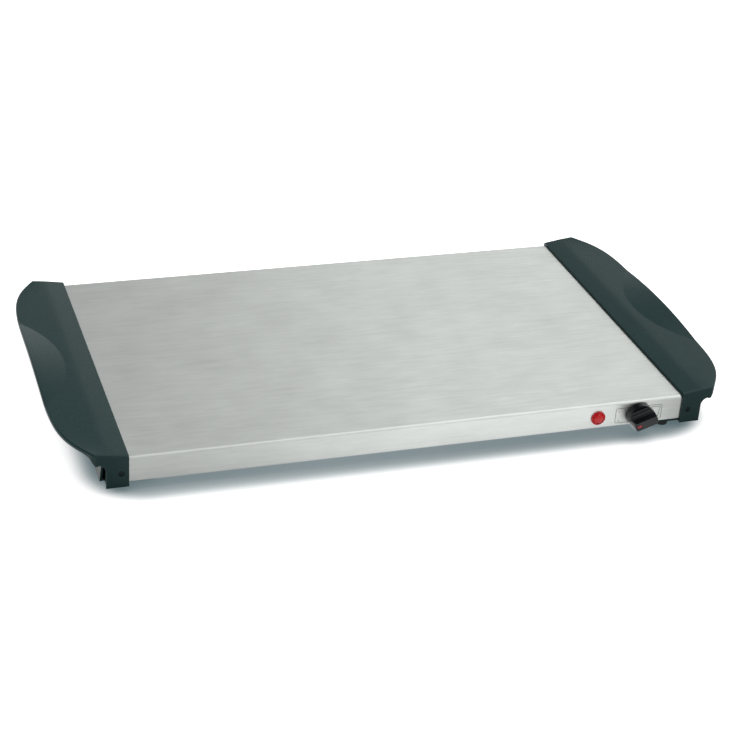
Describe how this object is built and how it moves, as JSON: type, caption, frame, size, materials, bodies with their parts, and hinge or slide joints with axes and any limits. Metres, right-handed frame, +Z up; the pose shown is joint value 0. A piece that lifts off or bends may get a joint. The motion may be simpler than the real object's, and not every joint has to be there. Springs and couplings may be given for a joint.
{
  "type": "electric food warmer tray",
  "caption": "Flat electric food warmer: a folded steel tray between two winged end handles, heated from below, with a thermostat knob and a pilot lamp on its front flange.",
  "frame": {"origin": "centre of the object's bounding box in plan, on the surface that its feet stand on", "axes": "+X to the right along the tray's length, +Y to the back, away from the control knob, +Z up"},
  "size_m": [0.672, 0.377, 0.0474],
  "materials": {
    "stainless_sheet": "brushed along the tray's length",
    "galvanised_sheet": "dull zinc",
    "charcoal_plastic": "satin moulded charcoal",
    "blackened_screw": "blackened steel",
    "zinc_screw": "bright zinc",
    "black_rubber": "matt",
    "aluminium_plate": "mill finish",
    "silicone_cord": "satin",
    "aluminium_foil": "bright foil",
    "glass_fibre": "woolly",
    "black_knob_plastic": "satin gloss",
    "red_inlay": "satin",
    "brass_turned": "turned",
    "brass_spring": "rolled strip",
    "ceramic": "unglazed white ceramic",
    "red_lens": "clear red, faceted",
    "black_plastic": "satin",
    "lamp_glass": "clear",
    "fuse_body": "glazed",
    "lead_insulation": "satin"
  },
  "bodies": {
    "warmer": {"top_tray": "stainless_sheet", "bottom_cover": "galvanised_sheet", "clamp_bar_left": "galvanised_sheet", "clamp_bar_right": "galvanised_sheet", "left_end_handle": "charcoal_plastic", "right_end_handle": "charcoal_plastic", "handle_screw_front_left": "blackened_screw", "handle_screw_back_left": "blackened_screw", "handle_screw_front_right": "blackened_screw", "handle_screw_back_right": "blackened_screw", "cover_screw_front_left": "zinc_screw", "cover_screw_back_left": "zinc_screw", "cover_screw_front_right": "zinc_screw", "cover_screw_back_right": "zinc_screw", "foot_front_left": "black_rubber", "foot_back_left": "black_rubber", "foot_front_right": "black_rubber", "foot_back_right": "black_rubber", "heat_spreader": "aluminium_plate", "heating_cord": "silicone_cord", "heater_foil": "aluminium_foil", "insulation_blanket": "glass_fibre", "thermostat_bush": "brass_turned", "thermostat_nut": "zinc_screw", "thermostat_frame": "galvanised_sheet", "stack_spacer_front": "ceramic", "stack_spacer_middle": "ceramic", "stack_spacer_back": "ceramic", "fixed_contact_blade": "brass_spring", "bimetal_blade": "brass_spring", "pilot_lamp_lens": "red_lens", "pilot_lamp_holder": "black_plastic", "pilot_lamp_bulb": "lamp_glass", "cord_gland": "black_plastic", "gland_clip": "galvanised_sheet", "terminal_block": "ceramic", "earth_stud": "brass_turned", "earth_nut": "zinc_screw", "thermal_fuse": "fuse_body", "fuse_clip": "galvanised_sheet", "live_lead": "lead_insulation", "heater_lead": "lead_insulation", "return_lead": "lead_insulation", "fuse_lead": "lead_insulation", "lamp_lead_long": "lead_insulation", "lamp_lead_short": "lead_insulation"},
    "knob": {"control_knob": "black_knob_plastic", "knob_pointer": "red_inlay", "thermostat_shaft": "brass_turned"}
  },
  "joints": [
    {"name": "knob_turn", "type": "hinge", "parent": "warmer", "child": "knob", "pos_m": [0.229, -0.1675, 0.0211], "axis": [0, 1, 0], "range_deg": [0, 240]}
  ]
}
